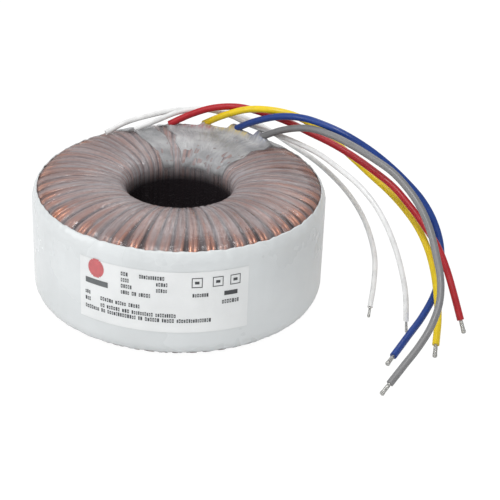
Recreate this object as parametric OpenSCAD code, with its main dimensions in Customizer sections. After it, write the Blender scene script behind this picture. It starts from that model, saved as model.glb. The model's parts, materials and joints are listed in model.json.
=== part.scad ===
// Toroidal mains transformer: a strip-wound steel ring, a primary, two bifilar secondaries,
// a clear film wrap, a white side band and six stiff leads that end bare and tinned.
// The ring stands flat on its lower face, on the axis Z, with the leads leaving near +Y.

/* [Overall] */
// Outer diameter over the side band
body_d = 140; // [130:1:170]
// Height at the crown of the top face
body_h = 60.5; // [50:0.5:75]
// Diameter of the centre hole through the film wrap
hole_d = 50; // [40:1:60]
// Slope of the top face where its crown meets the rounded edges, in degrees
crown = 20; // [14:1:26]

/* [Film wrap and side band] */
// Thickness of the clear outer film wrap, all turns together
film_t = 0.4; // [0.2:0.1:1]
// Radius of the wrap's outer edges
edge_r = 8.2; // [6:0.1:10]
// Radius of the wrap's edges at the hole
lip_r = 7.3; // [6:0.1:10]
// Thickness of the white side band, all turns together
band_t = 0.6; // [0.3:0.1:1.5]
// Height of the band's lower edge above the base
band_low = 3.2; // [1:0.1:10]
// Drop from the crown to the band's upper edge
band_drop = 4.7; // [3.5:0.1:10]

/* [Secondary windings] */
// Turns in each secondary winding
turns = 60; // [20:1:64]
// Diameter of the secondary wire over its enamel
wire_d = 2; // [1:0.1:2.2]
// Side clearance between the two wires of a pair at the outer wall
pair_gap = 0.12; // [0.05:0.01:0.5]

/* [Primary and insulation] */
// Thickness of the film between the primary and the secondaries
barrier_t = 0.4; // [0.2:0.1:1]
// Thickness of the primary winding at the outer wall
primary_out = 2; // [1:0.1:4]
// Thickness of the primary winding at the inner wall
primary_in = 3; // [1.5:0.1:5]
// Thickness of the tape around the capped core
tape_t = 0.5; // [0.2:0.1:1]
// Wall of the two moulded core caps
cap_t = 0.8; // [0.5:0.1:1.5]
// Height of a core cap's rims
cap_rim = 9; // [4:0.5:12]

/* [Label] */
// Width of the rating label along the band
label_w = 88; // [40:1:120]
// Height of the rating label
label_h = 34; // [15:1:36]
// Thickness of the rating label
label_t = 0.1; // [0.05:0.01:0.3]

/* [Leads] */
// Outer diameter of the thin primary leads
thin_d = 2.6; // [1.5:0.1:3]
// Outer diameter of the thick secondary leads
thick_d = 3.4; // [2:0.1:3.6]
// Thickness of the lead-out pads on top of the wrap
pad_t = 2.4; // [2:0.1:4]
// Bare length at the end of a primary lead
thin_bare = 6; // [3:0.5:7]
// Bare length at the end of a secondary lead
thick_bare = 7; // [4:0.5:8]

/* [Hidden] */

// Clearances and margins
wire_seat = 0.1;     // between stacked wires, film and insulation
cut_in = 0.8;        // how far a wire's stretches over the crown run below its arc
lean = 0.4;          // how far its upright and lower stretches run inside the walls
lead_seat = 0.15;    // around a lead in its pad, and under its first ring
tip_bead = 1.15;     // solder bead at a tip, in wire diameters
primary_min = 0.8;   // least thickness of the primary over the core's edges
ring_sides = 144;

// The wrap's walls, and how deep the middle of the outer wires lies below its surface
wrap_r = body_d / 2 - band_t;
hole_r = hole_d / 2;
wire_in = film_t + wire_seat + wire_d / 2;
layer = wire_d + wire_seat;
step = 360 / turns;
pair_turn = (wire_d + pair_gap) / 2 / (wrap_r - wire_in) * 180 / PI;
band_top = body_h - band_drop;

// Film under the wires: outer wall, hole wall, base, crown and edge radii
barrier_depth = wire_in + wire_d / 2 + lean;
barrier_r = wrap_r - barrier_depth;
barrier_hole = hole_r + barrier_depth + layer;
barrier_low = barrier_depth + layer;
barrier_top = body_h - barrier_depth - layer - cut_in + lean;
barrier_edge = edge_r - wire_in;
barrier_lip = lip_r - wire_in;

// Primary winding
primary_r = barrier_r - barrier_t;
primary_hole = barrier_hole + barrier_t;
primary_low = barrier_low + barrier_t;
primary_top = barrier_top - barrier_t;
primary_edge = barrier_edge - barrier_t;
primary_lip = barrier_lip - barrier_t;

// Taped core, squared off inside the primary's rounded edges
edge_loss = primary_edge - sqrt(pow(primary_edge, 2) - pow(primary_edge - primary_out, 2));
tape_r = primary_r - primary_out;
tape_hole = primary_hole + primary_in;
tape_low = primary_low + edge_loss + primary_min;
tape_top = edge_height(primary_r - primary_hole, primary_top, primary_edge, primary_lip)
    + primary_edge - edge_loss - primary_min;

// Ring of rectangular section inside the tape: the caps, then the core
cap_in = tape_t;
core_in = tape_t + cap_t;

// Lead routes from the pad to the end of the insulation. Each starts on the wrap, and its points
// are those of a body this wide and this high: they are stretched with the body.
route_body = [140, 140, 60.5];
WHITE_A = [
    [-39.5, 43], [-30, 49, 64], [-19, 54, 66], [-7, 59.5, 67], [5.5, 64, 66.5],
    [18, 67, 64.5], [30, 67.5, 61], [42, 65, 56], [53, 60, 51], [64, 54, 46.5], [73.5, 46, 42],
    [82, 36.5, 37], [89, 26, 31], [93.5, 14.5, 25], [96, 2.5, 18], [95.5, -9.5, 11],
    [93.5, -21.5, 3.7]
];
WHITE_B = [
    [-25.5, 46], [-14.5, 52, 64.5], [-3.5, 57, 67.5], [8.5, 59, 68.5], [21, 56, 67.5],
    [33, 49.5, 65], [44.5, 40.5, 65], [56, 29, 65.5], [66.5, 17, 65.5], [76, 6.5, 63],
    [84.5, -2, 59.5], [92, -10, 54], [98, -17, 46.5], [102.5, -23, 38], [106, -28.5, 28.5],
    [108.5, -33, 18], [109.5, -37, 6]
];
RED = [
    [-8.5, 54.5], [2.5, 54.5, 67.5], [14, 53.5, 72], [26.5, 51, 74], [38.5, 46, 73.5],
    [50.5, 40, 72], [62, 33, 69.5], [73, 26.5, 67], [83.5, 20, 63.5], [93, 13.5, 59.5],
    [102.5, 7, 54.5], [110.5, 0, 48], [117.5, -6.5, 41], [124, -13.5, 33.5], [128.5, -20, 25],
    [132, -27, 16], [135.5, -34, 6]
];
YELLOW = [
    [9, 59.5], [19.5, 50.5, 69.5], [31, 42.5, 76.5], [42.5, 37, 79], [54, 35, 77.5],
    [65, 34.5, 72], [74.5, 33.5, 65], [83.5, 31, 58], [92.5, 26.5, 51.5], [101.5, 20, 46],
    [109, 12, 41], [115.5, 2.5, 35.5], [120, -8, 29.5], [122.5, -19.5, 23.5], [123.5, -31, 17.5],
    [123.5, -42.5, 11.5], [122, -54.5, 4.5]
];
BLUE = [
    [24.5, 52.5], [35, 41, 71], [46.5, 29.5, 79], [58, 19.5, 83], [69, 12.5, 82.5],
    [79, 8.5, 79.5], [89.5, 6, 74], [99, 5, 67], [108, 4, 59], [116.5, 2.5, 50], [122.5, -1.5, 41],
    [126, -7.5, 31.5], [126, -16, 22.5], [123, -26, 15], [117, -37.5, 9.5], [109.5, -49.5, 5.5],
    [102, -62.5, 2.5]
];
GREY = [
    [37.5, 43.5], [48.5, 30.5, 71.5], [60, 18, 78.5], [70.5, 7, 80.5], [80.5, -2, 79.5],
    [90, -10, 77], [99, -17, 73.5], [106.5, -24, 68], [112.5, -31.5, 61.5], [116.5, -38.5, 54],
    [119, -46, 46.5], [121, -53.5, 38.5], [120.5, -61, 30.5], [117, -68, 22.5], [111.5, -75, 16],
    [105, -81.5, 10], [98.5, -88.5, 4.5]
];

// Points along an arc about a centre, from one angle to another
function arc(centre, r, from, to, n) =
    [for (i = [0 : n]) let (a = from + (to - from) * i / n) centre + r * [cos(a), sin(a)]];

// Radius of the flat crown arc that joins the edge arcs over a span
function crown_r(span, edge, lip) = (span - (edge + lip) * (1 - sin(crown))) / (2 * sin(crown));

// Height where the crown arc meets the edge arcs, and the height of the outer edge arc's centre
function shoulder(span, top, edge, lip) = top - crown_r(span, edge, lip) * (1 - cos(crown));
function edge_height(span, top, edge, lip) = shoulder(span, top, edge, lip) - edge * cos(crown);

// Section of a wound ring: flat below, with a crown of three arcs above
function section(wall, hole, low, top, edge, lip) =
    let (big = crown_r(wall - hole, edge, lip), z = shoulder(wall - hole, top, edge, lip))
    concat(
        arc([hole + lip, low + lip], lip, 180, 270, 6),
        arc([wall - edge, low + edge], edge, 270, 360, 6),
        arc([wall - edge, z - edge * cos(crown)], edge, 0, 90 - crown, 6),
        arc([wall - edge * (1 - sin(crown)) - big * sin(crown), top - big],
            big, 90 - crown, 90 + crown, 10),
        arc([hole + lip, z - lip * cos(crown)], lip, 90 + crown, 180, 6)
    );

// Section of the film wrap, grown outwards by a thickness
function wrap_section(grow) =
    section(wrap_r + grow, hole_r - grow, -grow, body_h + grow, edge_r + grow, lip_r + grow);

function barrier_section(depth) =
    section(barrier_r - depth, barrier_hole + depth, barrier_low + depth, barrier_top - depth,
        barrier_edge - depth, barrier_lip - depth);

// Height of the wrap's crown at a radius
function crown_height(r) =
    let (big = crown_r(wrap_r - hole_r, edge_r, lip_r),
         middle = wrap_r - edge_r * (1 - sin(crown)) - big * sin(crown))
    body_h - big + sqrt(pow(big, 2) - pow(r - middle, 2));

// Route of a lead of diameter d, seated on the wrap and stretched with the body
function laid(points, d) =
    let (stretch = [body_d, body_d, body_h],
         first = [for (k = [0, 1]) points[0][k] * stretch[k] / route_body[k]])
    concat(
        [[first.x, first.y, crown_height(norm(first)) + d / 2 + lead_seat]],
        [for (i = [1 : len(points) - 1])
            [for (k = [0 : 2]) points[i][k] * stretch[k] / route_body[k]]]
    );

function polar(r, a) = r * [cos(a), sin(a)];
function unit(v) = v / norm(v);
function across(v, t) = unit(v - t * (v * t));

// Direction of a path at a point, halfway between its two stretches
function heading(path, i) =
    let (last = len(path) - 1,
         before = unit(path[max(i, 1)] - path[max(i, 1) - 1]),
         after = unit(path[min(i, last - 1) + 1] - path[min(i, last - 1)]))
    unit(before + after);

// A side vector carried along a path without twist
function carried(path) =
    [for (i = 0, side = across([0, 0, 1], heading(path, 0));
          i < len(path);
          i = i + 1, side = across(side, heading(path, min(i, len(path) - 1))))
        side];

// Tube along a path, with one ring of n points at each path point and closed ends
module tube(path, sides, d, n) {
    last = len(path) - 1;
    rings = [for (i = [0 : last])
        let (t = heading(path, i), a = across(sides[i], t), b = cross(t, a))
        for (k = [0 : n - 1]) path[i] + d / 2 * (a * cos(360 * k / n) + b * sin(360 * k / n))];
    skin = [for (i = [0 : last - 1], k = [0 : n - 1])
        let (p = i * n + k, q = i * n + (k + 1) % n)
        each [[p, p + n, q], [q, p + n, q + n]]];
    caps = [[for (k = [0 : n - 1]) k], [for (k = [n - 1 : -1 : 0]) last * n + k]];
    polyhedron(rings, concat(skin, caps));
}

// Points of a half turn in its own upright plane, s from the outer wall towards the hole
function placed(start, aim, points) =
    [for (p = points) [start.x + p.x * aim.x, start.y + p.x * aim.y, p.y]];

function over(span, top, edge, lip) =
    let (big = crown_r(span, edge, lip), z = shoulder(span, top, edge, lip), sweep = 90 - crown)
    [
        for (f = [0.25, 0.85]) [edge, z - edge * cos(crown)] + polar(edge, 180 - sweep * f),
        [edge * (1 - sin(crown)) + big * sin(crown), top],
        for (f = [0.85, 0.25]) [span - lip, z - lip * cos(crown)] + polar(lip, sweep * f)
    ];

function under(span, low, edge, lip) =
    [
        for (f = [0.2, 0.8]) [span - lip, low + lip] + polar(lip, -90 * f),
        for (f = [0.8, 0.2]) [edge, low + edge] + polar(edge, 180 + 90 * f)
    ];

// One winding as one path: each turn crosses over to the hole and comes back underneath
module winding(lead, depth) {
    wall = wrap_r - wire_in;
    hole = hole_r + wire_in + depth;
    edge = edge_r - wire_in;
    lip = lip_r - wire_in;
    halves = [for (i = [0 : 2 * turns - 2])
        let (outside = polar(wall, 90 + step * ceil(i / 2) + lead),
             inside = polar(hole, 90 + step * (floor(i / 2) + 0.5)),
             span = norm(inside - outside), aim = (inside - outside) / span,
             points = i % 2 == 0 ? over(span, body_h - wire_in - depth, edge, lip)
                                 : under(span, wire_in + depth, edge, lip))
        for (p = placed(outside, aim, points)) [p, [-aim.y, aim.x, 0]]];
    tube([for (h = halves) h[0]], [for (h = halves) h[1]], wire_d, 6);
}

// Rectangle of the taped core's section, shrunk by a thickness
module core_rect(depth)
    translate([tape_hole + depth, tape_low + depth])
        square([tape_r - tape_hole - 2 * depth, tape_top - tape_low - 2 * depth]);

module core() color("dimgray") rotate_extrude($fn = ring_sides) core_rect(core_in);

// Moulded cap: a ring tray whose rims reach up the core's two walls
module core_cap(low)
    rotate_extrude($fn = ring_sides)
        intersection() {
            difference() {
                core_rect(cap_in);
                core_rect(core_in);
            }
            translate([tape_hole, low]) square([tape_r - tape_hole, cap_t + cap_rim]);
        }

module core_cap_bottom() color("black") core_cap(tape_low + cap_in);
module core_cap_top() color("black") core_cap(tape_top - cap_in - cap_t - cap_rim);

module core_tape()
    color("khaki")
        rotate_extrude($fn = ring_sides)
            difference() {
                core_rect(0);
                core_rect(tape_t);
            }

module primary_winding()
    color("peru")
        rotate_extrude($fn = ring_sides)
            difference() {
                polygon(barrier_section(barrier_t));
                core_rect(0);
            }

module barrier_film()
    color("dimgray")
        rotate_extrude($fn = ring_sides)
            difference() {
                polygon(barrier_section(0));
                polygon(barrier_section(barrier_t));
            }

module secondary_winding_a() color("sandybrown") winding(-pair_turn, 0);
module secondary_winding_b() color("chocolate") winding(pair_turn, layer);

module film_wrap()
    color("gainsboro")
        rotate_extrude($fn = ring_sides)
            difference() {
                polygon(wrap_section(0));
                polygon(wrap_section(-film_t));
            }

module side_band()
    color("white")
        rotate_extrude($fn = ring_sides)
            intersection() {
                difference() {
                    polygon(wrap_section(band_t));
                    polygon(wrap_section(0));
                }
                translate([(hole_r + wrap_r) / 2, band_low]) square([body_d, band_top - band_low]);
            }

// Label wrapped on the band's upright wall, centred on -Y
module rating_label() {
    turn = label_w / body_d * 360 / PI;
    low = (band_low + band_top - label_h) / 2;
    color("whitesmoke")
        rotate([0, 0, -90 - turn / 2])
            rotate_extrude(angle = turn, $fn = ring_sides)
                translate([body_d / 2, low]) square([label_t, label_h]);
}

// Straight bore around a lead's first stretch
module along(path, i) {
    t = heading(path, i);
    translate(path[i]) rotate([0, acos(t.z), atan2(t.y, t.x)]) children();
}

// Pad of film on the crown, cut to a fan in plan, with a bore for each lead
module leadout_pad(fan, routes, d) {
    color("lightgray")
        difference() {
            intersection() {
                rotate_extrude($fn = ring_sides)
                    difference() {
                        polygon(wrap_section(pad_t));
                        polygon(wrap_section(0));
                    }
                translate([0, 0, band_top + wire_seat]) linear_extrude(body_h) polygon(fan);
            }
            for (points = routes)
                along(laid(points, d), 0) cylinder(d = d + 2 * lead_seat, h = 4 * d, $fn = 32);
        }
}

module leadout_pad_primary()
    leadout_pad([
        polar(hole_r + 5, 98), polar(body_d, 109), polar(body_d, 147),
        polar(hole_r + 25, 141), polar(hole_r + 18, 118), polar(hole_r + 5, 112)
    ], [WHITE_A, WHITE_B], thin_d);

module leadout_pad_secondary()
    leadout_pad([
        polar(hole_r + 5, 40), polar(body_d, 38), polar(body_d, 107), polar(hole_r + 5, 96)
    ], [RED, YELLOW, BLUE, GREY], thick_d);

module lead(points, d) {
    path = laid(points, d);
    tube(path, carried(path), d, 8);
}

module lead_white_a() color("ivory") lead(WHITE_A, thin_d);
module lead_white_b() color("ivory") lead(WHITE_B, thin_d);
module lead_red() color("firebrick") lead(RED, thick_d);
module lead_yellow() color("gold") lead(YELLOW, thick_d);
module lead_blue() color("royalblue") lead(BLUE, thick_d);
module lead_grey() color("gray") lead(GREY, thick_d);

// Bare wire in line with the lead's last stretch, with a bead of solder at its end
module tip(points, lead_d, d, bare)
    color("silver")
        along(laid(points, lead_d), len(points) - 1) {
            cylinder(d = d, h = bare - d / 2, $fn = 32);
            translate([0, 0, bare - d / 2]) sphere(d = d * tip_bead, $fn = 32);
        }

module tip_white_a() tip(WHITE_A, thin_d, thin_d / 2, thin_bare);
module tip_white_b() tip(WHITE_B, thin_d, thin_d / 2, thin_bare);
module tip_red() tip(RED, thick_d, wire_d, thick_bare);
module tip_yellow() tip(YELLOW, thick_d, wire_d, thick_bare);
module tip_blue() tip(BLUE, thick_d, wire_d, thick_bare);
module tip_grey() tip(GREY, thick_d, wire_d, thick_bare);

core();
core_cap_bottom();
core_cap_top();
core_tape();
primary_winding();
barrier_film();
secondary_winding_a();
secondary_winding_b();
film_wrap();
side_band();
rating_label();
leadout_pad_primary();
leadout_pad_secondary();
lead_white_a();
lead_white_b();
lead_red();
lead_yellow();
lead_blue();
lead_grey();
tip_white_a();
tip_white_b();
tip_red();
tip_yellow();
tip_blue();
tip_grey();
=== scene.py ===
"""Looks of a toroidal transformer: copper windings under clear film, side band, label and leads."""

import json
import math
import random

import bpy
import numpy as np
from bpy.props import FloatProperty, FloatVectorProperty, IntProperty, PointerProperty
from mathutils import Matrix, Vector


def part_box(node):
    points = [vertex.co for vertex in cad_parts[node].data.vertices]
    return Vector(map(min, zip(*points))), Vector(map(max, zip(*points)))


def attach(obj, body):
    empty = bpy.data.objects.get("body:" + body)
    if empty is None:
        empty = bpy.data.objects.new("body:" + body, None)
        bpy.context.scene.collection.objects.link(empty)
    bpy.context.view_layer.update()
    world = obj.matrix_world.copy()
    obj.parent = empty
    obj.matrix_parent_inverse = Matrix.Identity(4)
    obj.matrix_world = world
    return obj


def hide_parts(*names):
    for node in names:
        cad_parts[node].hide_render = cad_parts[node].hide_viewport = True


bl_info = {
    "name": "Toroidal Transformer",
    "version": (1, 0, 0),
    "blender": (4, 5, 0),
    "location": "3D View > Sidebar > Transformer",
    "description": "Builds the windings, film, band, label, leads and stage of a toroidal transformer",
    "category": "Object",
}

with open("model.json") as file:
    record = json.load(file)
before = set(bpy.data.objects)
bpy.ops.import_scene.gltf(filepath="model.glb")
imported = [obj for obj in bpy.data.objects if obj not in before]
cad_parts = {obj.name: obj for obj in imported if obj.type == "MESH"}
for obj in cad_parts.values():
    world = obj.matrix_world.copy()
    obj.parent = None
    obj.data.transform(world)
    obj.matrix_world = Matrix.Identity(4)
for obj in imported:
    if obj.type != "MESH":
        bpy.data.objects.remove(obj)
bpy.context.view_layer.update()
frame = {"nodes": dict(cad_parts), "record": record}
BORE = next(m for m in frame["record"]["mounts"] if m["kind"] == "bore")
HOLE_R = BORE["dims"]["r_mm"] / 1000
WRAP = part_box("film_wrap")
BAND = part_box("side_band")
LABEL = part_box("rating_label")
MM = 0.001
LEAD_SEAT = 0.00015  # gap between a lead and the film
LEAD_STEPS = 7  # points of the smooth path between two route points
LABEL_WIDE, LABEL_TALL = 80.1, 31.0  # label, in millimetres
LABEL_LEFT, LABEL_TOP = -44.0, 0.5  # from the CAD label's middle, and below its top edge
PRINT_NARROW = 0.9  # width of the print against its layout
PRINT_TOP = 3.2  # from the layout's top edge down to the CAD label's
PRINT_RISE = 0.00008  # print above the label

# Each lead's insulation diameter, conductor diameter, bare length and route, all in metres.
# A route's first point has only x and y, because it is seated on the film.
# The points came from a fitting script and were rounded. Grey and white_b were then moved.
ROUTES = {
    "white_a": (0.0026, 0.0013, 0.006, [
        (-0.0395, 0.043), (-0.03, 0.049, 0.064), (-0.019, 0.054, 0.066), (-0.007, 0.0595, 0.067),
        (0.0055, 0.064, 0.0665), (0.018, 0.067, 0.0645), (0.03, 0.0675, 0.061),
        (0.042, 0.065, 0.056), (0.053, 0.06, 0.051), (0.064, 0.054, 0.0465),
        (0.0735, 0.046, 0.042), (0.082, 0.0365, 0.037), (0.089, 0.026, 0.031),
        (0.0935, 0.0145, 0.025), (0.096, 0.0025, 0.018), (0.0955, -0.0095, 0.011),
        (0.0935, -0.0215, 0.0037)]),
    "white_b": (0.0026, 0.0013, 0.006, [
        (-0.0255, 0.046), (-0.0145, 0.052, 0.0645), (-0.0035, 0.057, 0.0675),
        (0.0085, 0.059, 0.0685), (0.021, 0.056, 0.0675), (0.033, 0.0495, 0.065),
        (0.0445, 0.0405, 0.065), (0.056, 0.029, 0.0655), (0.0665, 0.017, 0.0655),
        (0.076, 0.0065, 0.063), (0.0845, -0.002, 0.0595), (0.092, -0.01, 0.054),
        (0.098, -0.017, 0.0465), (0.1025, -0.023, 0.038), (0.106, -0.0285, 0.0285),
        (0.1085, -0.033, 0.018), (0.1095, -0.037, 0.006)]),
    "red": (0.0034, 0.002, 0.007, [
        (-0.0085, 0.0545), (0.0025, 0.0545, 0.0675), (0.014, 0.0535, 0.072),
        (0.0265, 0.051, 0.074), (0.0385, 0.046, 0.0735), (0.0505, 0.04, 0.072),
        (0.062, 0.033, 0.0695), (0.073, 0.0265, 0.067), (0.0835, 0.02, 0.0635),
        (0.093, 0.0135, 0.0595), (0.1025, 0.007, 0.0545), (0.1105, 0, 0.048),
        (0.1175, -0.0065, 0.041), (0.124, -0.0135, 0.0335), (0.1285, -0.02, 0.025),
        (0.132, -0.027, 0.016), (0.1355, -0.034, 0.006)]),
    "yellow": (0.0034, 0.002, 0.007, [
        (0.009, 0.0595), (0.0195, 0.0505, 0.0695), (0.031, 0.0425, 0.0765), (0.0425, 0.037, 0.079),
        (0.054, 0.035, 0.0775), (0.065, 0.0345, 0.072), (0.0745, 0.0335, 0.065),
        (0.0835, 0.031, 0.058), (0.0925, 0.0265, 0.0515), (0.1015, 0.02, 0.046),
        (0.109, 0.012, 0.041), (0.1155, 0.0025, 0.0355), (0.12, -0.008, 0.0295),
        (0.1225, -0.0195, 0.0235), (0.1235, -0.031, 0.0175), (0.1235, -0.0425, 0.0115),
        (0.122, -0.0545, 0.0045)]),
    "blue": (0.0034, 0.002, 0.007, [
        (0.0245, 0.0525), (0.035, 0.041, 0.071), (0.0465, 0.0295, 0.079), (0.058, 0.0195, 0.083),
        (0.069, 0.0125, 0.0825), (0.079, 0.0085, 0.0795), (0.0895, 0.006, 0.074),
        (0.099, 0.005, 0.067), (0.108, 0.004, 0.059), (0.1165, 0.0025, 0.05),
        (0.1225, -0.0015, 0.041), (0.126, -0.0075, 0.0315), (0.126, -0.016, 0.0225),
        (0.123, -0.026, 0.015), (0.117, -0.0375, 0.0095), (0.1095, -0.0495, 0.0055),
        (0.102, -0.0625, 0.0025)]),
    "grey": (0.0034, 0.002, 0.007, [
        (0.0375, 0.0435), (0.0485, 0.0305, 0.0715), (0.06, 0.018, 0.0785), (0.0705, 0.007, 0.0805),
        (0.0805, -0.002, 0.0795), (0.09, -0.01, 0.077), (0.099, -0.017, 0.0735),
        (0.1065, -0.024, 0.068), (0.1125, -0.0315, 0.0615), (0.1165, -0.0385, 0.054),
        (0.119, -0.046, 0.0465), (0.121, -0.0535, 0.0385), (0.1205, -0.061, 0.0305),
        (0.117, -0.068, 0.0225), (0.1115, -0.075, 0.016), (0.105, -0.0815, 0.01),
        (0.0985, -0.0885, 0.0045)]),
}


# ---------------------------------------------------------------- settings

def length(name, text, value):
    return FloatProperty(name=name, description=text, default=value, unit="LENGTH", precision=5)


def colour(name, text, value):
    return FloatVectorProperty(
        name=name, description=text, default=value, subtype="COLOR", min=0, max=1)


class WindingSettings(bpy.types.PropertyGroup):
    turns: IntProperty(name="Turns", description="Pairs of wire round the ring", default=60)
    wire: length("Wire", "Diameter of a wire over its enamel", 0.002)
    depth: length("Depth", "Depth of a wire's middle below the film's face", 0.00155)
    wander: FloatProperty(
        name="Wander", description="How far a pair strays from even spacing", default=1.15)
    copper: colour("Copper", "Enamelled copper", (0.93, 0.36, 0.2))


class FilmSettings(bpy.types.PropertyGroup):
    edge: length("Edge radius", "Radius of the film's outer edges", 0.0082)
    lip: length("Lip radius", "Radius of the film's edges at the hole", 0.0073)
    crown: FloatProperty(
        name="Crown", description="Slope where the crown meets the edges", subtype="ANGLE",
        default=math.radians(20))
    ridge: length("Ridge", "Sag of the film between two pairs of wire", 0.0006)
    wrinkle: length("Wrinkle", "Height of the creases at the rim", 0.0005)
    milk: colour("Haze", "Colour of many layers of film", (0.31, 0.3, 0.315))
    blush: colour("Blush", "Colour of the haze over copper", (0.44, 0.25, 0.21))
    shade: colour("Shade", "Colour of the haze over a gap", (0.085, 0.08, 0.092))


class BandSettings(bpy.types.PropertyGroup):
    crease: length("Crease", "Height of the creases in the band", 0.00022)
    white: colour("White", "Colour of the band", (0.76, 0.79, 0.8))


class LabelSettings(bpy.types.PropertyGroup):
    paper: colour("Label", "Colour of the label", (0.79, 0.82, 0.83))
    ink: colour("Ink", "Colour of the dark marks", (0.045, 0.05, 0.055))
    accent: colour("Accent", "Colour of the red mark", (0.55, 0.13, 0.14))


class LeadSettings(bpy.types.PropertyGroup):
    white: colour("White", "White insulation", (0.8, 0.81, 0.8))
    red: colour("Red", "Red insulation", (0.42, 0.008, 0.016))
    yellow: colour("Yellow", "Yellow insulation", (0.87, 0.6, 0.006))
    blue: colour("Blue", "Blue insulation", (0.004, 0.04, 0.235))
    grey: colour("Grey", "Grey insulation", (0.2, 0.2, 0.205))


class StageSettings(bpy.types.PropertyGroup):
    distance: length("Distance", "Camera distance", 0.7286)
    elevation: FloatProperty(
        name="Elevation", description="Camera elevation", subtype="ANGLE", default=math.radians(28.56))
    key: FloatProperty(name="Key light", description="Power of the key light in watts", default=6.5)
    sky: FloatProperty(name="Sky", description="Strength of the light from all round", default=0.5)


SETTINGS = {
    "toroid_winding": WindingSettings, "toroid_film": FilmSettings, "toroid_band": BandSettings,
    "toroid_label": LabelSettings, "toroid_lead": LeadSettings, "toroid_stage": StageSettings,
}


# ---------------------------------------------------------------- node helpers

def node(tree, kind, inputs=None, **props):
    """A node with its properties set and its inputs filled from numbers or other sockets."""
    made = tree.nodes.new(kind)
    for key, value in props.items():
        setattr(made, key, value)
    for key, value in (inputs or {}).items():
        if isinstance(value, bpy.types.NodeSocket):
            tree.links.new(value, made.inputs[key])
        else:
            made.inputs[key].default_value = value
    return made


def maths(tree, operation, a, b=0.0, c=0.0, clamp=False):
    return node(tree, "ShaderNodeMath", {0: a, 1: b, 2: c}, operation=operation,
                use_clamp=clamp).outputs[0]


def blend_colour(tree, factor, a, b, mode="MIX"):
    made = node(tree, "ShaderNodeMix", {0: factor, 6: a, 7: b}, data_type="RGBA", blend_type=mode)
    return made.outputs[2]


def remap(tree, value, low, high, to_low=0.0, to_high=1.0):
    return node(tree, "ShaderNodeMapRange", {
        "Value": value, "From Min": low, "From Max": high, "To Min": to_low, "To Max": to_high},
        interpolation_type="SMOOTHSTEP").outputs[0]


def rgba(c):
    return (c[0], c[1], c[2], 1.0)


def material(name):
    """An empty material with a Principled BSDF joined to its output."""
    made = bpy.data.materials.new(name)
    made.use_nodes = True
    made.node_tree.nodes.clear()
    shader = node(made.node_tree, "ShaderNodeBsdfPrincipled")
    node(made.node_tree, "ShaderNodeOutputMaterial", {"Surface": shader.outputs[0]})
    return made, made.node_tree, shader


def fill(shader, values):
    """Sets or links a shader's sockets by name."""
    for key, value in values.items():
        if isinstance(value, bpy.types.NodeSocket):
            shader.id_data.links.new(value, shader.inputs[key])
        else:
            shader.inputs[key].default_value = value


def bump(tree, height, strength, distance=0.001):
    return node(tree, "ShaderNodeBump", {
        "Strength": strength, "Distance": distance, "Height": height}).outputs[0]


def group(name, inputs, outputs, build):
    """A shader node group, built once."""
    made = bpy.data.node_groups.get(name)
    if made is None:
        made = bpy.data.node_groups.new(name, "ShaderNodeTree")
        for label, kind, value in inputs:
            socket = made.interface.new_socket(name=label, in_out="INPUT", socket_type=kind)
            if value is not None:
                socket.default_value = value
        for label, kind in outputs:
            made.interface.new_socket(name=label, in_out="OUTPUT", socket_type=kind)
        start, end = made.nodes.new("NodeGroupInput"), made.nodes.new("NodeGroupOutput")
        build(made, start.outputs, end.inputs)
    return made


def build_mottle(tree, given, out):
    """Slow and fine noise over a base colour, with a mask for roughness and a height for bump."""
    slow = node(tree, "ShaderNodeTexNoise", {
        "Vector": given["Vector"], "Scale": given["Scale"], "Detail": 4.0}).outputs[0]
    fine_scale = maths(tree, "MULTIPLY", given["Scale"], 9.0)
    fine = node(tree, "ShaderNodeTexNoise", {
        "Vector": given["Vector"], "Scale": fine_scale, "Detail": 3.0}).outputs[0]
    swing = maths(tree, "SUBTRACT", slow, 0.5)
    share = maths(tree, "MULTIPLY_ADD", swing, given["Vary"], 0.5)
    dark = blend_colour(tree, 1.0, given["Colour"], (0.6, 0.6, 0.6, 1), "MULTIPLY")
    tree.links.new(blend_colour(tree, share, dark, given["Light"]), out["Colour"])
    tree.links.new(slow, out["Mask"])
    tree.links.new(fine, out["Height"])


def mottle(tree, base, light, scale, vary, vector=None):
    """Places the mottle group: returns its colour, mask and height."""
    made = group("Mottle", [
        ("Vector", "NodeSocketVector", None), ("Colour", "NodeSocketColor", (0.5, 0.5, 0.5, 1)),
        ("Light", "NodeSocketColor", (0.6, 0.6, 0.6, 1)), ("Scale", "NodeSocketFloat", 50.0),
        ("Vary", "NodeSocketFloat", 1.0)],
        [("Colour", "NodeSocketColor"), ("Mask", "NodeSocketFloat"), ("Height", "NodeSocketFloat")],
        build_mottle)
    if vector is None:
        vector = node(tree, "ShaderNodeTexCoord").outputs["Object"]
    placed = node(tree, "ShaderNodeGroup", node_tree=made)
    for key, value in (("Colour", rgba(base)), ("Light", rgba(light)), ("Scale", scale),
                       ("Vary", vary)):
        placed.inputs[key].default_value = value
    tree.links.new(vector, placed.inputs["Vector"])
    return placed.outputs["Colour"], placed.outputs["Mask"], placed.outputs["Height"]


def lighter(c, by=1.25):
    return tuple(min(1.0, x * by) for x in c[:3])


def plain(name, base, scale=60, vary=0.7, rough=(0.4, 0.6), metal=0.0, strength=0.15, **sockets):
    """A mottled finish for a solid piece."""
    made, tree, shader = material(name)
    tint, mask, height = mottle(tree, base, lighter(base), scale, vary)
    fill(shader, {
        "Base Color": tint, "Metallic": metal, "Roughness": remap(tree, mask, 0.3, 0.7, *rough),
        "Normal": bump(tree, height, strength, 0.0004), **sockets})
    return made


# ---------------------------------------------------------------- shape helpers

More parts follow.
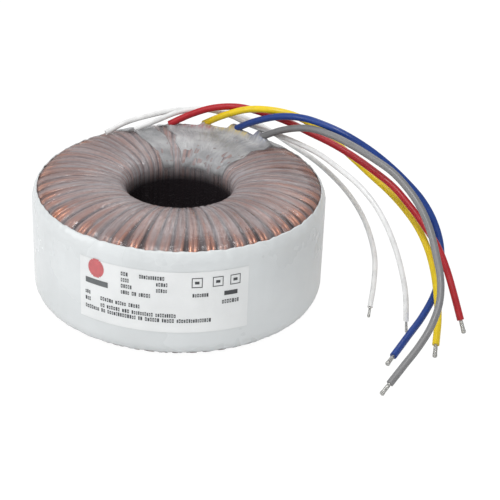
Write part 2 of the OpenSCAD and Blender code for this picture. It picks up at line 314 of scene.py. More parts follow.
def wrap_section(grow=0.0, spacing=0.0017):
    """Closed section of the film's face grown by a thickness: r, z, normal r, normal z and length."""
    film = bpy.context.scene.toroid_film
    wall, hole, top = WRAP[1].x + grow, HOLE_R - grow, WRAP[1].z + grow
    edge, lip, slope = film.edge + grow, film.lip + grow, film.crown
    big = (wall - hole - (edge + lip) * (1 - math.sin(slope))) / (2 * math.sin(slope))
    shoulder = top - big * (1 - math.cos(slope))
    middle = wall - edge * (1 - math.sin(slope)) - big * math.sin(slope)
    quarter = math.pi / 2
    arcs = [
        (wall - edge, shoulder - edge * math.cos(slope), edge, 0, quarter - slope),
        (middle, top - big, big, quarter - slope, quarter + slope),
        (hole + lip, shoulder - lip * math.cos(slope), lip, quarter + slope, 2 * quarter),
        (hole + lip, lip - grow, lip, 2 * quarter, 3 * quarter),
        (wall - edge, edge - grow, edge, 3 * quarter, 4 * quarter),
    ]
    points = []
    for x, z, r, start, stop in arcs:
        for i in range(25):
            a = start + (stop - start) * i / 24
            points.append((x + r * math.cos(a), z + r * math.sin(a), math.cos(a), math.sin(a)))
    points.append(points[0])
    p = np.array(points)
    s = np.concatenate([[0], np.cumsum(np.hypot(*np.diff(p[:, :2], axis=0).T))])
    at = np.linspace(0, s[-1], max(8, round(s[-1] / spacing)), endpoint=False)
    r, z, nr, nz = (np.interp(at, s, p[:, k]) for k in range(4))
    size = np.hypot(nr, nz)
    return r, z, nr / size, nz / size, at


def crown_height(r):
    rr, zz, _, nz, _ = wrap_section(spacing=0.0003)
    up = nz > 0.5
    order = np.argsort(rr[up])
    return float(np.interp(r, rr[up][order], zz[up][order]))


def smooth(x, low, high):
    t = np.clip((x - low) / (high - low), 0, 1)
    return t * t * (3 - 2 * t)


class Lay:
    """Where each pair of wires lies: its angle at the outer wall and at the hole."""

    def __init__(self):
        w = bpy.context.scene.toroid_winding
        dice = random.Random(7)
        self.turns, step = w.turns, 360 / w.turns
        centre = np.arange(-1, w.turns + 1)
        outer = [dice.uniform(-1, 1) * w.wander for _ in range(w.turns)]
        inner = [dice.uniform(-1, 1) * w.wander * 0.5 for _ in range(w.turns)]
        self.u = centre + 0.5
        self.outer = np.array([(k + 0.5) * step + outer[k % w.turns] for k in centre])
        self.inner = np.array([(k + 1.0) * step + inner[k % w.turns] for k in centre])

    def angle(self, u, r):
        """Angle in degrees at the place u among the pairs, and radius r."""
        share = np.clip((WRAP[1].x - r) / (WRAP[1].x - HOLE_R), 0, 1)
        whole = np.floor(u / self.turns)
        v = u - whole * self.turns
        turned = np.interp(v, self.u, self.outer) * (1 - share)
        turned = turned + np.interp(v, self.u, self.inner) * share
        return turned + whole * 360 - 90


def grid_mesh(name, points, attributes, uv, close_rows, close_columns):
    """A mesh from a rows by columns grid of points, with float attributes and one UV map."""
    rows, columns = points.shape[:2]
    index = np.arange(rows * columns).reshape(rows, columns)
    j = np.arange(rows if close_rows else rows - 1)
    i = np.arange(columns if close_columns else columns - 1)
    a = index[j][:, i]
    b = index[j][:, (i + 1) % columns]
    c = index[(j + 1) % rows][:, (i + 1) % columns]
    d = index[(j + 1) % rows][:, i]
    faces = np.stack([a, b, c, d], -1).reshape(-1, 4)
    mesh = bpy.data.meshes.new(name)
    mesh.from_pydata(points.reshape(-1, 3).tolist(), [], faces.tolist())
    for key, values in attributes.items():
        values = np.asarray(values, np.float32)
        kind = "FLOAT_COLOR" if values.ndim == 3 else "FLOAT"
        layer = mesh.attributes.new(key, kind, "POINT")
        layer.data.foreach_set("color" if values.ndim == 3 else "value", values.ravel())
    layer = mesh.uv_layers.new(name="along")
    across = np.repeat(np.arange(len(i))[None, :], len(j), 0).ravel()
    down = np.repeat(np.arange(len(j))[:, None], len(i), 1).ravel()
    us, vs = uv
    us = np.append(us, us[-1] + (us[-1] - us[-2]))
    vs = np.append(vs, vs[-1] + (vs[-1] - vs[-2]))
    corners = np.stack([
        np.stack([us[across], vs[down]], -1), np.stack([us[across + 1], vs[down]], -1),
        np.stack([us[across + 1], vs[down + 1]], -1), np.stack([us[across], vs[down + 1]], -1)], 1)
    layer.data.foreach_set("uv", corners.astype(np.float32).ravel())
    mesh.shade_smooth()
    return mesh


def add_object(mesh, *materials):
    made = bpy.data.objects.new(mesh.name, mesh)
    bpy.context.scene.collection.objects.link(made)
    for m in materials:
        made.data.materials.append(m)
    return made


def settle(piece, slot, *nodes):
    """Rides the piece on the one body and hides the CAD nodes it stands for."""
    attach(piece, "root")
    if nodes:
        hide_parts(*nodes)
    return piece


# ---------------------------------------------------------------- geometry node trees

def new_tree(name, inputs):
    tree = bpy.data.node_groups.new(name, "GeometryNodeTree")
    tree.interface.new_socket(name="Geometry", in_out="INPUT", socket_type="NodeSocketGeometry")
    tree.interface.new_socket(name="Geometry", in_out="OUTPUT", socket_type="NodeSocketGeometry")
    for label, kind, value in inputs:
        socket = tree.interface.new_socket(name=label, in_out="INPUT", socket_type=kind)
        if value is not None:
            socket.default_value = value
    return tree, tree.nodes.new("NodeGroupInput").outputs, tree.nodes.new("NodeGroupOutput").inputs


def finish_tree(tree, given, out, geometry):
    whole = node(tree, "GeometryNodeRealizeInstances", {"Geometry": geometry}).outputs[0]
    done = node(tree, "GeometryNodeSetMaterial", {
        "Geometry": whole, "Material": given["Material"]}).outputs[0]
    tree.links.new(done, out["Geometry"])
    return tree


def wire_tree():
    """Round wires along the loops of a mesh of edges."""
    tree, given, out = new_tree("Wires", [
        ("Wire radius", "NodeSocketFloat", 0.001), ("Sides", "NodeSocketInt", 8),
        ("Material", "NodeSocketMaterial", None)])
    loops = node(tree, "GeometryNodeMeshToCurve", {"Mesh": given["Geometry"]}).outputs[0]
    ring = node(tree, "GeometryNodeCurvePrimitiveCircle", {
        "Resolution": given["Sides"], "Radius": given["Wire radius"]}).outputs[0]
    tube = node(tree, "GeometryNodeCurveToMesh", {"Curve": loops, "Profile Curve": ring}).outputs[0]
    soft = node(tree, "GeometryNodeSetShadeSmooth", {"Geometry": tube}).outputs[0]
    return finish_tree(tree, given, out, soft)


def relief_tree():
    """Sinks a surface between the wires and creases it, by its attributes sag and crumple."""
    tree, given, out = new_tree("Film relief", [
        ("Sag", "NodeSocketFloat", 0.0005), ("Crease", "NodeSocketFloat", 0.0005),
        ("Crease size", "NodeSocketFloat", 160.0), ("Seed", "NodeSocketFloat", 1.0),
        ("Material", "NodeSocketMaterial", None)])

    def named(key):
        return node(tree, "GeometryNodeInputNamedAttribute", {"Name": key},
                    data_type="FLOAT").outputs[0]

    sag = maths(tree, "MULTIPLY", named("sag"), given["Sag"])
    noise = node(tree, "ShaderNodeTexNoise", {
        "Scale": given["Crease size"], "W": given["Seed"], "Detail": 2.0, "Distortion": 1.2},
        noise_dimensions="4D").outputs[0]
    creased = maths(tree, "ABSOLUTE", maths(tree, "SUBTRACT", noise, 0.5))
    creased = maths(tree, "MULTIPLY", maths(tree, "MULTIPLY", creased, 4.0), given["Crease"])
    creased = maths(tree, "MULTIPLY", creased, named("crumple"))
    depth = maths(tree, "MULTIPLY", maths(tree, "ADD", sag, creased), -1.0)
    normal = node(tree, "GeometryNodeInputNormal").outputs[0]
    push = node(tree, "ShaderNodeVectorMath", {0: normal, "Scale": depth}, operation="SCALE")
    moved = node(tree, "GeometryNodeSetPosition", {
        "Geometry": given["Geometry"], "Offset": push.outputs[0]}).outputs[0]
    return finish_tree(tree, given, out, moved)


def run_tree(source, tree, values):
    """Runs a tree on an object and returns a plain mesh object in its place."""
    modifier = source.modifiers.new("Shape", "NODES")
    modifier.node_group = tree
    for item in tree.interface.items_tree:
        if item.item_type == "SOCKET" and item.in_out == "INPUT" and item.name in values:
            modifier[item.identifier] = values[item.name]
    bpy.context.view_layer.update()
    evaluated = source.evaluated_get(bpy.context.evaluated_depsgraph_get())
    mesh = bpy.data.meshes.new_from_object(evaluated)
    source.modifiers.remove(modifier)
    name, old = source.name, source.data
    bpy.data.objects.remove(source)
    bpy.data.meshes.remove(old)
    mesh.name = name
    return add_object(mesh)


# ---------------------------------------------------------------- operators

class TOROID_OT_stage(bpy.types.Operator):
    """Adds the camera, the lights and the white floor"""
    bl_idname = "toroid.stage"
    bl_label = "Stage"

    def execute(self, context):
        s = context.scene.toroid_stage
        scene = context.scene
        e, roll = s.elevation, math.radians(2.3)
        forward = Vector((0, math.cos(e), -math.sin(e)))
        across, up = Vector((1, 0, 0)), Vector((0, math.sin(e), math.cos(e)))
        place = Vector((0, 0, 0.03)) - forward * s.distance + across * 0.0321 - up * 0.00807
        right = across * math.cos(roll) + up * math.sin(roll)
        top = up * math.cos(roll) - across * math.sin(roll)
        lens = bpy.data.cameras.new("camera")
        lens.lens, lens.sensor_width = 108.25, 36
        lens.shift_x, lens.shift_y = 0.0112, -0.0012
        lens.clip_start, lens.clip_end = 0.02, 20
        camera = bpy.data.objects.new("camera", lens)
        turn = Matrix((right, top, -forward)).transposed()
        camera.matrix_world = Matrix.Translation(place) @ turn.to_4x4()
        scene.collection.objects.link(camera)
        scene.camera = camera

        for name, at, aim, size, power in (
            ("key_light", (-0.12, -0.5, 0.95), (0, 0, 0.03), 0.42, s.key),
            ("left_light", (-0.95, -0.25, 0.45), (0, 0, 0.03), 0.6, s.key * 0.45),
            ("back_light", (0.25, 0.75, 0.8), (0.02, 0, 0.03), 0.5, s.key * 0.4),
        ):
            data = bpy.data.lights.new(name, "AREA")
            data.energy, data.size = power, size
            lamp = bpy.data.objects.new(name, data)
            lamp.location = at
            lamp.rotation_euler = (Vector(aim) - Vector(at)).to_track_quat("-Z", "Y").to_euler()
            scene.collection.objects.link(lamp)

        world = bpy.data.worlds.new("studio")
        world.use_nodes = True
        tree = world.node_tree
        tree.nodes.clear()
        path = node(tree, "ShaderNodeLightPath")
        seen = maths(tree, "MAXIMUM", path.outputs["Is Camera Ray"],
                     path.outputs["Is Transmission Ray"])
        strength = maths(tree, "MAXIMUM", maths(tree, "MULTIPLY", seen, 1.0), s.sky)
        strength = maths(tree, "MAXIMUM", strength,
                         maths(tree, "MULTIPLY", path.outputs["Is Glossy Ray"], 0.3))
        light = node(tree, "ShaderNodeBackground", {"Color": (1, 1, 1, 1), "Strength": strength})
        node(tree, "ShaderNodeOutputWorld", {"Surface": light.outputs[0]})
        scene.world = world
        scene.view_settings.view_transform = "Standard"

        mesh = bpy.data.meshes.new("floor")
        mesh.from_pydata([(-4, -4, 0), (4, -4, 0), (4, 4, 0), (-4, 4, 0)], [], [(0, 1, 2, 3)])
        paper = bpy.data.materials.new("floor_paper")
        paper.use_nodes = True
        tree = paper.node_tree
        tree.nodes.clear()
        path = node(tree, "ShaderNodeLightPath")
        dull = node(tree, "ShaderNodeBsdfDiffuse", {"Color": (0.86, 0.86, 0.86, 1)})
        glow = node(tree, "ShaderNodeEmission", {"Strength": 1.08})
        both = node(tree, "ShaderNodeMixShader", {
            0: maths(tree, "MULTIPLY", path.outputs["Is Camera Ray"], 0.9),
            1: dull.outputs[0], 2: glow.outputs[0]})
        node(tree, "ShaderNodeOutputMaterial", {"Surface": both.outputs[0]})
        add_object(mesh, paper)
        return {"FINISHED"}


def lead_path(key):
    """Smooth centreline of a lead in metres, through its route points."""
    thick, _, _, route = ROUTES[key]
    x, y = route[0]
    first = (x, y, crown_height(math.hypot(x, y)) + thick / 2 + LEAD_SEAT)
    p = np.array([first] + route[1:])
    ext = np.vstack([2 * p[0] - p[1], p, 2 * p[-1] - p[-2]])
    out = []
    for i in range(len(p) - 1):
        a, b, c, d = ext[i:i + 4]
        for t in np.arange(0, 1, 1 / LEAD_STEPS):
            out.append(0.5 * (2 * b + (c - a) * t + (2 * a - 5 * b + 4 * c - d) * t ** 2
                              + (3 * b - a - 3 * c + d) * t ** 3))
    out.append(p[-1])
    return np.array(out), p


class TOROID_OT_leads(bpy.types.Operator):
    """Adds the six insulated leads and their tinned ends"""
    bl_idname = "toroid.leads"
    bl_label = "Leads"

    def execute(self, context):
        s = context.scene.toroid_lead
        tin = plain("tinned_copper", (0.5, 0.5, 0.48), 900, 1.0, (0.18, 0.42), 0.9, 0.5)
        for key, (thick, core, bare, _) in ROUTES.items():
            path, route = lead_path(key)
            curve = bpy.data.curves.new("insulation_" + key, "CURVE")
            curve.dimensions = "3D"
            curve.bevel_depth, curve.bevel_resolution = thick / 2, 5
            curve.use_fill_caps = True
            spline = curve.splines.new("POLY")
            spline.points.add(len(path) - 1)
            spline.points.foreach_set("co", np.hstack([path, np.ones((len(path), 1))]).ravel())
            piece = bpy.data.objects.new(curve.name, curve)
            context.scene.collection.objects.link(piece)
            base = getattr(s, key.split("_")[0])
            gloss = (0.32, 0.5) if "white" not in key else (0.25, 0.4)
            curve.materials.append(plain("pvc_" + key, base, 240, 0.5, gloss, 0, 0.12))
            settle(piece, key.split("_")[0] + "_insulation", "lead_" + key)
            end = self.tip(key, route, core, bare, tin)
        return {"FINISHED"}

    def tip(self, key, route, core, bare, tin):
        """A tinned conductor: faint strands, then a rounded bead of solder."""
        heading = Vector(route[-1] - route[-2]).normalized()
        side = heading.orthogonal().normalized()
        other = heading.cross(side)
        rings, sides = 26, 28
        points = np.zeros((rings, sides, 3))
        for i in range(rings):
            t = i / (rings - 1)
            bead = 1 + 0.17 * math.exp(-((t - 0.86) / 0.11) ** 2)
            waist = 1 - 0.1 * math.exp(-((t - 0.1) / 0.14) ** 2)
            cap = math.sqrt(max(0.0, 1 - max(0.0, (t - 0.9) / 0.1) ** 2))
            for k in range(sides):
                a = 2 * math.pi * k / sides
                strand = 1 - 0.05 * (1 - t) * abs(math.sin(3.5 * a + 5 * t))
                r = core / 2 * bead * waist * strand * max(cap, 0.02)
                p = Vector(route[-1]) + heading * (t * bare - 0.0004)
                points[i, k] = p + side * (r * math.cos(a)) + other * (r * math.sin(a))
        uv = (np.arange(sides) / sides, np.arange(rings) / rings)
        mesh = grid_mesh("tinned_end_" + key, points, {}, uv, False, True)
        return settle(add_object(mesh, tin), "tinned_wire", "tip_" + key)


class TOROID_OT_core(bpy.types.Operator):
    """Finishes the hidden pieces: core, caps, tape, primary and barrier film"""
    bl_idname = "toroid.core"
    bl_label = "Core and primary"

    def execute(self, context):
        finishes = {
            "core": plain("strip_steel", (0.3, 0.31, 0.32), 90, 0.6, (0.3, 0.5), 0.9, 0.3),
            "core_cap_bottom": plain("black_nylon", (0.02, 0.02, 0.022), 300, 0.6, (0.5, 0.7)),
            "core_tape": plain("core_tape", (0.62, 0.52, 0.28), 120, 0.6, (0.25, 0.4)),
            "primary_winding": plain("primary_wire", (0.5, 0.17, 0.06), 400, 1.0, (0.3, 0.5), 0.8,
                                     0.5),
            "barrier_film": plain("barrier_film", (0.022, 0.02, 0.024), 130, 1.0, (0.25, 0.5)),
        }
        finishes["core_cap_top"] = finishes["core_cap_bottom"]
        for key, finish in finishes.items():
            piece = frame["nodes"][key]
            piece.data.materials.clear()
            piece.data.materials.append(finish)
        return {"FINISHED"}


class TOROID_OT_windings(bpy.types.Operator):
    """Adds the two secondary windings, laid as pairs of wire"""
    bl_idname = "toroid.windings"
    bl_label = "Secondary windings"

    def execute(self, context):
        w = context.scene.toroid_winding
        finish, tree, shader = material("enamelled_copper")
        tint, mask, height = mottle(tree, w.copper, (1.0, 0.5, 0.32), 150, 1.4)
        fill(shader, {
            "Base Color": tint, "Metallic": 0.75, "Roughness": remap(tree, mask, 0.3, 0.7, 0.28, 0.4),
            "Coat Weight": 0.4, "Coat Roughness": 0.1, "Normal": bump(tree, height, 0.08, 0.0002)})
        lay = Lay()
        wires = wire_tree()
        r, z, nr, nz, _ = wrap_section(spacing=0.0021)
        for letter, hand in (("a", -1), ("b", 1)):
            verts, edges = [], []
            for k in range(lay.turns):
                spread = smooth(r, HOLE_R + 0.007, HOLE_R + 0.016)
                depth = w.depth + (0 if hand < 0 else 1) * (w.wire + 0.0001) * (1 - spread)
                rr, zz = r - nr * depth, z - nz * depth
                side = hand * (w.wire / 2 + 0.00006) * spread
                turned = np.radians(lay.angle(np.full(len(r), k + 0.5), r)) + side / rr
                start = len(verts)
                verts += np.stack([rr * np.cos(turned), rr * np.sin(turned), zz], -1).tolist()
                edges += [(start + i, start + (i + 1) % len(r)) for i in range(len(r))]
            mesh = bpy.data.meshes.new("winding_" + letter)
            mesh.from_pydata(verts, edges, [])
            piece = run_tree(add_object(mesh), wires, {
                "Wire radius": w.wire / 2, "Sides": 8, "Material": finish})
            settle(piece, "secondary_wire", "secondary_winding_" + letter)
        return {"FINISHED"}


def film_layers(angle, r):
    """How many strips of film lie over each place, and how near it is to a strip's edge."""
    dice = random.Random(23)
    count, edge = np.zeros(r.shape), np.zeros(r.shape)
    strips = 46
    for j in range(strips):
        centre = math.radians((j + dice.uniform(-0.45, 0.45)) * 360 / strips)
        half = dice.uniform(4.2, 8.4) * MM
        lean = dice.uniform(-0.12, 0.12)
        d = r * np.sin(angle - centre) + lean * (r - 0.047)
        facing = np.cos(angle - centre) > 0
        count += facing * smooth(half - np.abs(d), -0.0004, 0.0004)
        edge = np.maximum(edge, facing * np.exp(-((half - np.abs(d)) / 0.0005) ** 2))
    return count, edge


def film_material(name, kind):
    """Clear film: hazy where it is many layers thick, clear where it is one, and painted near black
    down the hole as shade.
    """
    film = bpy.context.scene.toroid_film
    made, tree, shader = material(name)
    haze = node(tree, "ShaderNodeAttribute", attribute_name="haze").outputs["Fac"]
    blush = node(tree, "ShaderNodeAttribute", attribute_name="blush").outputs["Fac"]
    line = node(tree, "ShaderNodeUVMap", uv_map="along").outputs[0]
    stretched = node(tree, "ShaderNodeMapping", {"Vector": line, "Scale": (2.6, 30.0, 1.0)})
    streak = node(tree, "ShaderNodeTexNoise", {
        "Vector": stretched.outputs[0], "Scale": 1.0, "Detail": 4.0, "Roughness": 0.6}).outputs[0]
    streak = remap(tree, streak, 0.32, 0.68)
    objective = node(tree, "ShaderNodeTexCoord").outputs["Object"]
    spots = node(tree, "ShaderNodeTexNoise", {
        "Vector": objective, "Scale": 90.0 if kind == "patch" else 420.0, "Detail": 3.0}).outputs[0]
    spots = remap(tree, spots, 0.3, 0.75)
    under = maths(tree, "ADD", maths(tree, "MULTIPLY", blush, 0.75),
                  maths(tree, "MULTIPLY", streak, 0.25), clamp=True)
    under = blend_colour(tree, under, rgba(film.shade), rgba(film.blush))
    veil = maths(tree, "MULTIPLY_ADD", streak, 0.7, -0.55)
    veil = maths(tree, "MULTIPLY_ADD", haze, 0.9, veil, clamp=True)
    tint = blend_colour(tree, veil, under, rgba(film.milk))
    if kind == "patch":
        stain = node(tree, "ShaderNodeAttribute", attribute_name="stain")
        pale = blend_colour(tree, spots, (0.33, 0.335, 0.345, 1), (0.5, 0.505, 0.515, 1))
        weight = maths(tree, "MULTIPLY", stain.outputs["Alpha"], 0.85)
        tint = blend_colour(tree, weight, pale, stain.outputs["Color"])
    # Painted shade: the film inside the hole is darkened to near black, by the attribute depth.
    painted_hole_shade = node(tree, "ShaderNodeAttribute", attribute_name="depth").outputs["Fac"]
    tint = blend_colour(tree, painted_hole_shade, tint, (0.012, 0.009, 0.011, 1))
    opaque = maths(tree, "MULTIPLY_ADD", spots, 0.1, haze, clamp=True)
    crinkle = node(tree, "ShaderNodeTexNoise", {
        "Vector": objective, "Scale": 110.0 if kind == "patch" else 260.0, "Detail": 2.0,
        "Distortion": 1.2}).outputs[0]
    crinkle = maths(tree, "MULTIPLY_ADD", streak, 0.8, crinkle)
    fill(shader, {
        "Base Color": tint, "Alpha": opaque, "Roughness": remap(tree, streak, 0, 1, 0.12, 0.24),
        "IOR": 1.65, "Normal": bump(tree, crinkle, 0.55, 0.0009)})
    return made


class TOROID_OT_film(bpy.types.Operator):
    """Adds the clear film wound over the ring"""
    bl_idname = "toroid.film"
    bl_label = "Film wrap"

    def execute(self, context):
        film = context.scene.toroid_film
        lay, per_pair = Lay(), 10
        r, z, nr, nz, s = wrap_section()
        u = np.arange(lay.turns * per_pair) / per_pair
        rr, uu = np.meshgrid(r, u, indexing="ij")
        turned = np.radians(lay.angle(uu, rr))
        points = np.stack([rr * np.cos(turned), rr * np.sin(turned),
                           np.repeat(z[:, None], len(u), 1)], -1)
        part = uu - np.floor(uu)
        gap = smooth(np.abs(part - 0.5), 0.27, 0.46)
        near = np.repeat((z > 0.02)[:, None], len(u), 1)
        count, edge = film_layers(turned, rr)
        far = smooth(WRAP[1].x - rr, 0.003, 0.0125)
        haze = 1 - 0.9 * 0.64 ** count
        haze = 1 - (1 - haze) * (1 - 0.42 * far)
        haze = np.where(near, haze, 0.96)
        dice = random.Random(3)
        pink = np.array([dice.uniform(0.1, 1) for _ in range(lay.turns)])
        soft = np.interp(u, np.arange(lay.turns) + 0.5, pink)
        blush = (1 - gap) * (0.35 + 0.65 * soft[None, :])
        # Painted shade down the hole's wall: the film is made opaque there and its depth attribute
        # darkens it to near black.
        down = ((nr < 0) * smooth(0.0525 - z, 0, 0.008))[:, None] * (rr < HOLE_R + 0.004)
        haze = np.maximum(haze, down)
        sag = gap * (1 - 0.5 * smooth(0.045 - rr, 0, 0.01)) + 0.35 * edge * (1 - gap)
        crumple = (0.15 + 0.85 * (1 - smooth(WRAP[1].x - rr, 0.001, 0.010))
                   + 0.5 * (1 - smooth(rr - HOLE_R, 0.002, 0.012)))
        crumple = crumple * (nz > -0.2)[:, None] * (rr < WRAP[1].x - 1e-4)
        mesh = grid_mesh("film", points, {
            "haze": haze, "blush": blush, "sag": sag, "crumple": crumple, "depth": down * 0.97},
            (u, s), True, True)
        piece = run_tree(add_object(mesh), relief_tree(), {
            "Sag": film.ridge, "Crease": film.wrinkle, "Crease size": 230.0, "Seed": 2.0,
            "Material": film_material("clear_film", "wrap")})
        settle(piece, "clear_film", "film_wrap")
        return {"FINISHED"}


class TOROID_OT_patches(bpy.types.Operator):
    """Adds the milky film over the joints where the leads come out"""
    bl_idname = "toroid.patches"
    bl_label = "Lead-out patches"

    def execute(self, context):
        film = context.scene.toroid_film
        tree = bpy.data.node_groups.get("Film relief") or relief_tree()
        finish = film_material("milky_film", "patch")
        s = context.scene.toroid_lead
        sleeves = [(s.red, "red", 96, 76, 0.056), (s.yellow, "yellow", 80, 56, 0.0575),
                   (s.blue, "blue", 65, 44, 0.058), (s.grey, "grey", 50, 36, 0.057)]
        for name, node_name, rim, hole, keys in (
            ("patch_primary", "leadout_pad_primary", (107, 128), (99, 112), ("white_a", "white_b")),
            ("patch_secondary", "leadout_pad_secondary", (39, 105), (36, 93),
             ("red", "yellow", "blue", "grey")),
        ):
            r, z, nr, nz, at = wrap_section(spacing=0.0011)
            keep = (nz > 0.0) & (z > 0.0475) | (nr < -0.5) & (z > 0.047)
            rows = np.flatnonzero(keep & (nr <= 0.9))
            r, z, nr, nz, at = (v[rows] for v in (r, z, nr, nz, at))
            columns = round((rim[1] - rim[0]) * 2.2)
            share = np.clip((WRAP[1].x - r) / (WRAP[1].x - HOLE_R), 0, 1)[:, None]
            f = np.linspace(0, 1, columns)[None, :]
            dice = random.Random(len(name))
            ragged = np.interp(at, np.linspace(at[0], at[-1], 9),
                               [dice.uniform(-1.6, 1.6) for _ in range(9)])[:, None]
            low = rim[0] + (hole[0] - rim[0]) * share + ragged
            high = rim[1] + (hole[1] - rim[1]) * share - ragged
            angle = np.radians(low + (high - low) * f)
            rr = np.repeat(r[:, None], columns, 1)
            flat = np.stack([rr * np.cos(angle), rr * np.sin(angle)], -1)
            lift = np.full(rr.shape, 0.00025)
            stain = np.zeros(rr.shape + (4,))
            for tint, key, a0, a1, radius in sleeves:
                if key not in keys:
                    continue
                turned = np.degrees(angle)
                off = rr - (radius - 0.0012 * np.clip(a0 - turned, 0, 40) / 10)
                within = smooth(turned, a1 - 3, a1 + 1) * smooth(a0 + 4 - turned, 0, 3)
                weight = np.exp(-(off / 0.0023) ** 2) * within
                lift += 0.0016 * weight
                broken = 0.55 + 0.45 * np.sin(turned * 0.9 + a0) * np.sin(turned * 2.3)
                strong = np.exp(-(off / 0.0016) ** 2) * within * broken * 0.8
                mixed = strong > stain[..., 3]
                stain[..., :3] = np.where(mixed[..., None], np.array(tint[:3]), stain[..., :3])
                stain[..., 3] = np.maximum(stain[..., 3], strong)
            for key in keys:
                path, _ = lead_path(key)
                d = np.hypot(flat[..., 0] - path[0][0], flat[..., 1] - path[0][1])
                lift += 0.0022 * np.exp(-(d / 0.0032) ** 2)
            border = np.minimum(f, 1 - f) * (high - low)
            border = smooth(border, 0, 2.0) * smooth(at - at[0], 0, 0.004)[:, None]
            border = border * smooth(at[-1] - at, 0, 0.006)[:, None]
            lift = lift * (0.15 + 0.85 * border)
            points = np.stack([
                (rr + nr[:, None] * lift) * np.cos(angle), (rr + nr[:, None] * lift) * np.sin(angle),
                z[:, None] + nz[:, None] * lift], -1)
            # Painted shade down the hole's wall: the depth attribute darkens the milky film there, and
            # its haze is thinned.
            down = smooth(0.0545 - z, 0, 0.006)[:, None] * (rr < HOLE_R + 0.003)
            haze = 0.84 * border * (1 - 0.7 * down)
            crumple = 0.35 + 0.6 * (1 - smooth(rr, 0.030, 0.040))
            mesh = grid_mesh(name, points, {
                "haze": haze, "blush": np.zeros(rr.shape), "sag": np.zeros(rr.shape),
                "crumple": crumple * border, "depth": down * 0.5, "stain": stain},
                (np.linspace(0, 12, columns), at), False, False)
            piece = run_tree(add_object(mesh), tree, {
                "Sag": 0.0, "Crease": film.wrinkle * 2.6, "Crease size": 75.0, "Seed": 5.0,
                "Material": finish})
            settle(piece, "pad_film", node_name)
        return {"FINISHED"}


class TOROID_OT_band(bpy.types.Operator):
    """Adds the white tape round the side"""
    bl_idname = "toroid.band"
    bl_label = "Side band"

    def execute(self, context):
        band = context.scene.toroid_band
        thick = BAND[1].x - WRAP[1].x
        r, z, nr, nz, at = wrap_section(thick, 0.0009)
        outer = r > 0.05
        up = outer & (z < BAND[1].z) & (z > 0.03)
        low = outer & (z > BAND[0].z) & (z <= 0.03)
        order = np.concatenate([np.flatnonzero(low), np.flatnonzero(up)])
        order = order[np.argsort(z[order])]
        r, z, nr, nz = (v[order] for v in (r, z, nr, nz))
        fold = thick * 0.9
        r = np.concatenate([[r[0] - nr[0] * fold], r, [r[-1] - nr[-1] * fold]])
        z = np.concatenate([[z[0] - nz[0] * fold], z, [z[-1] - nz[-1] * fold]])
        columns = 420
        turn = np.arange(columns) * 2 * math.pi / columns
        rr = np.repeat(r[:, None], columns, 1)
        zz = np.repeat(z[:, None], columns, 1)
        dice = random.Random(11)
        wave = sum(dice.uniform(0.3, 1) * np.sin(turn * n + dice.uniform(0, 6))
                   for n in (23, 37, 58, 71, 96))
        top = smooth(zz, 0.048, BAND[1].z)
        base = smooth(0.012 - zz, 0, 0.009)
        zz = zz - 0.00016 * (1.5 + wave)[None, :] * (top + base * -0.6)
        facets = np.abs(np.sin(turn * 30 + 0.7 * np.sin(turn * 5)))[None, :]
        sag = 0.25 * facets + 0.75 * facets * top
        crumple = 0.16 + 0.84 * smooth(zz, 0.043, 0.054) + 0.5 * base
        points = np.stack([rr * np.cos(turn), rr * np.sin(turn), zz], -1)
        made, tree, shader = material("white_tape")
        dull = tuple(0.93 * c for c in band.white)
        tint, mask, _ = mottle(tree, dull, lighter(band.white, 1.07), 22, 0.6)
        position = node(tree, "ShaderNodeTexCoord").outputs["Object"]
        tall = node(tree, "ShaderNodeMapping", {"Vector": position, "Scale": (170.0, 170.0, 9.0)})
        lines = node(tree, "ShaderNodeTexNoise", {
            "Vector": tall.outputs[0], "Scale": 1.0, "Detail": 2.0}).outputs[0]
        fill(shader, {
            "Base Color": tint, "Roughness": remap(tree, mask, 0.3, 0.7, 0.2, 0.34), "IOR": 1.5,
            "Normal": bump(tree, lines, 0.12, 0.0006)})
        mesh = grid_mesh("band", points, {"sag": sag, "crumple": crumple},
                         (turn / turn[1] * 0.1, z), False, True)
        relief = bpy.data.node_groups.get("Film relief") or relief_tree()
        piece = run_tree(add_object(mesh), relief, {
            "Sag": 0.00018, "Crease": band.crease, "Crease size": 150.0, "Seed": 9.0,
            "Material": made})
        settle(piece, "band_film", "side_band")
        return {"FINISHED"}


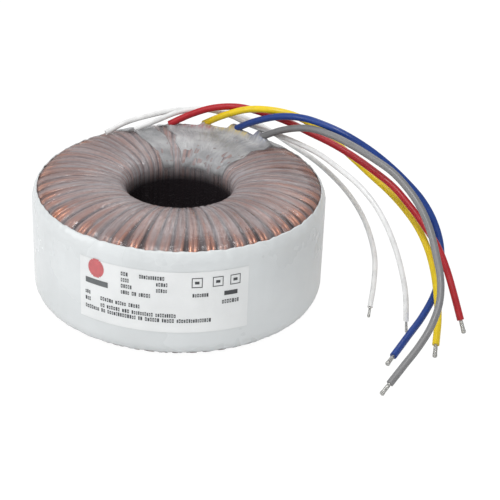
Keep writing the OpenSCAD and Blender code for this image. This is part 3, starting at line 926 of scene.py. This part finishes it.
class TOROID_OT_label(bpy.types.Operator):
    """Finishes the label and adds its plain printed marks"""
    bl_idname = "toroid.label"
    bl_label = "Rating label"

    def execute(self, context):
        s = context.scene.toroid_label
        radius = -LABEL[0].y
        high = LABEL[1].z + PRINT_TOP * MM
        verts, faces, slots = [], [], []

        def patch(x0, x1, y0, y1, slot, rise=PRINT_RISE):
            """A patch from x0 to x1 and y0 to y1, in the layout's millimetres from its corner."""
            steps = max(1, math.ceil((x1 - x0) / 2))
            start = len(verts)
            for i in range(steps + 1):
                x = x0 + (x1 - x0) * i / steps
                for y in (y0, y1):
                    a = (PRINT_NARROW * x + LABEL_LEFT) * MM / radius - math.pi / 2
                    out = radius + rise
                    verts.append((out * math.cos(a), out * math.sin(a), high - y * MM))
            for i in range(steps):
                k = start + 2 * i
                faces.append((k, k + 1, k + 3, k + 2))
                slots.append(slot)

        def words(x, y, tall, sizes, seed):
            """A line of print as small upright blocks in groups."""
            dice = random.Random(seed)
            for size in sizes:
                for _ in range(size):
                    wide = tall * dice.uniform(0.34, 0.52)
                    y0 = y + tall * dice.choice((0, 0, 0.12))
                    patch(x, x + wide, y0, y + tall, 0)
                    if dice.random() < 0.6:
                        patch(x + wide * 0.32, x + wide * 0.7, y0 + tall * 0.3, y + tall * 0.72, 1)
                    x += wide + tall * 0.2
                x += tall * 0.55

        top = PRINT_TOP + LABEL_TOP
        patch(0, LABEL_WIDE / PRINT_NARROW, top, top + LABEL_TALL, 4, 0.0)
        for row, (x, sizes, x2, sizes2) in enumerate((
                (24, (3,), 33.5, (11,)), (24, (4,), 42, (5,)), (24, (5,), 42, (5,)),
                (24, (4, 2, 5), None, None))):
            words(x, 6.2 + row * 3.1, 1.9, sizes, row)
            if x2:
                words(x2, 6.2 + row * 3.1, 1.9, sizes2, row + 10)
        words(3.4, 20.2, 1.9, (3,), 21)
        words(12.5, 21.6, 1.9, (6, 5, 5), 22)
        words(3.4, 23.6, 1.9, (3,), 23)
        words(12.5, 25.0, 1.9, (2, 6, 3, 10, 9), 24)
        words(3.4, 27.6, 1.9, (7, 2, 13, 2, 6, 5, 15), 25)
        words(60, 14.6, 1.8, (7,), 26)
        words(75, 18.8, 2.0, (7,), 27)
        for x in (59.5, 70.0, 79.0):
            patch(x, x + 5.4, 6.6, 7.0, 0)
            patch(x, x + 5.4, 11.2, 11.6, 0)
            patch(x, x + 0.4, 7.0, 11.2, 0)
            patch(x + 5.0, x + 5.4, 7.0, 11.2, 0)
            patch(x + 1.6, x + 3.8, 8.4, 9.8, 0)
        patch(76, 83, 14.4, 16.6, 0)
        for i in range(14):
            span = math.sqrt(max(0.0, 1 - ((i + 0.5) / 7 - 1) ** 2)) * 4.6
            patch(10 - span, 10 + span, 3.2 + i * 0.66, 3.2 + (i + 1) * 0.66, 2)
        patch(3.6, 16.8, 13.6, 16.4, 3)

        mesh = bpy.data.meshes.new("label_print")
        mesh.from_pydata(verts, [], faces)
        ink = plain("dark_ink", s.ink, 600, 0.8, (0.4, 0.6), 0, 0.02)
        piece = add_object(mesh, ink, plain("label_gap", s.paper, 45, 0.4, (0.28, 0.4), 0, 0.02),
                           plain("red_ink", s.accent, 500, 0.8, (0.4, 0.6), 0, 0.02),
                           plain("grey_ink", (0.12, 0.13, 0.135), 500, 0.8, (0.4, 0.6), 0, 0.02),
                           plain("label_film", s.paper, 45, 0.4, (0.28, 0.4), 0, 0.05))
        mesh.polygons.foreach_set("material_index", slots)
        settle(piece, "label_film", "rating_label")
        return {"FINISHED"}


class TOROID_PT_panel(bpy.types.Panel):
    """Lists the transformer's settings and its pieces"""
    bl_idname = "TOROID_PT_panel"
    bl_label = "Toroidal transformer"
    bl_space_type = "VIEW_3D"
    bl_region_type = "UI"
    bl_category = "Transformer"

    def draw(self, context):
        for step in STEPS:
            self.layout.operator(step.bl_idname)
        for key, settings in SETTINGS.items():
            box = self.layout.box()
            for field in settings.__annotations__:
                box.prop(getattr(context.scene, key), field)


STEPS = (
    TOROID_OT_stage, TOROID_OT_leads, TOROID_OT_core, TOROID_OT_windings, TOROID_OT_film,
    TOROID_OT_patches, TOROID_OT_band, TOROID_OT_label,
)


def register():
    for settings in SETTINGS.values():
        bpy.utils.register_class(settings)
    for key, settings in SETTINGS.items():
        setattr(bpy.types.Scene, key, PointerProperty(type=settings))
    for step in STEPS + (TOROID_PT_panel,):
        bpy.utils.register_class(step)


def unregister():
    for step in (TOROID_PT_panel,) + STEPS[::-1]:
        bpy.utils.unregister_class(step)
    for key, settings in SETTINGS.items():
        delattr(bpy.types.Scene, key)
        bpy.utils.unregister_class(settings)


def main():
    register()
    for step in STEPS:
        getattr(bpy.ops.toroid, step.bl_idname.split(".")[1])()


if __name__ == "__main__":
    main()
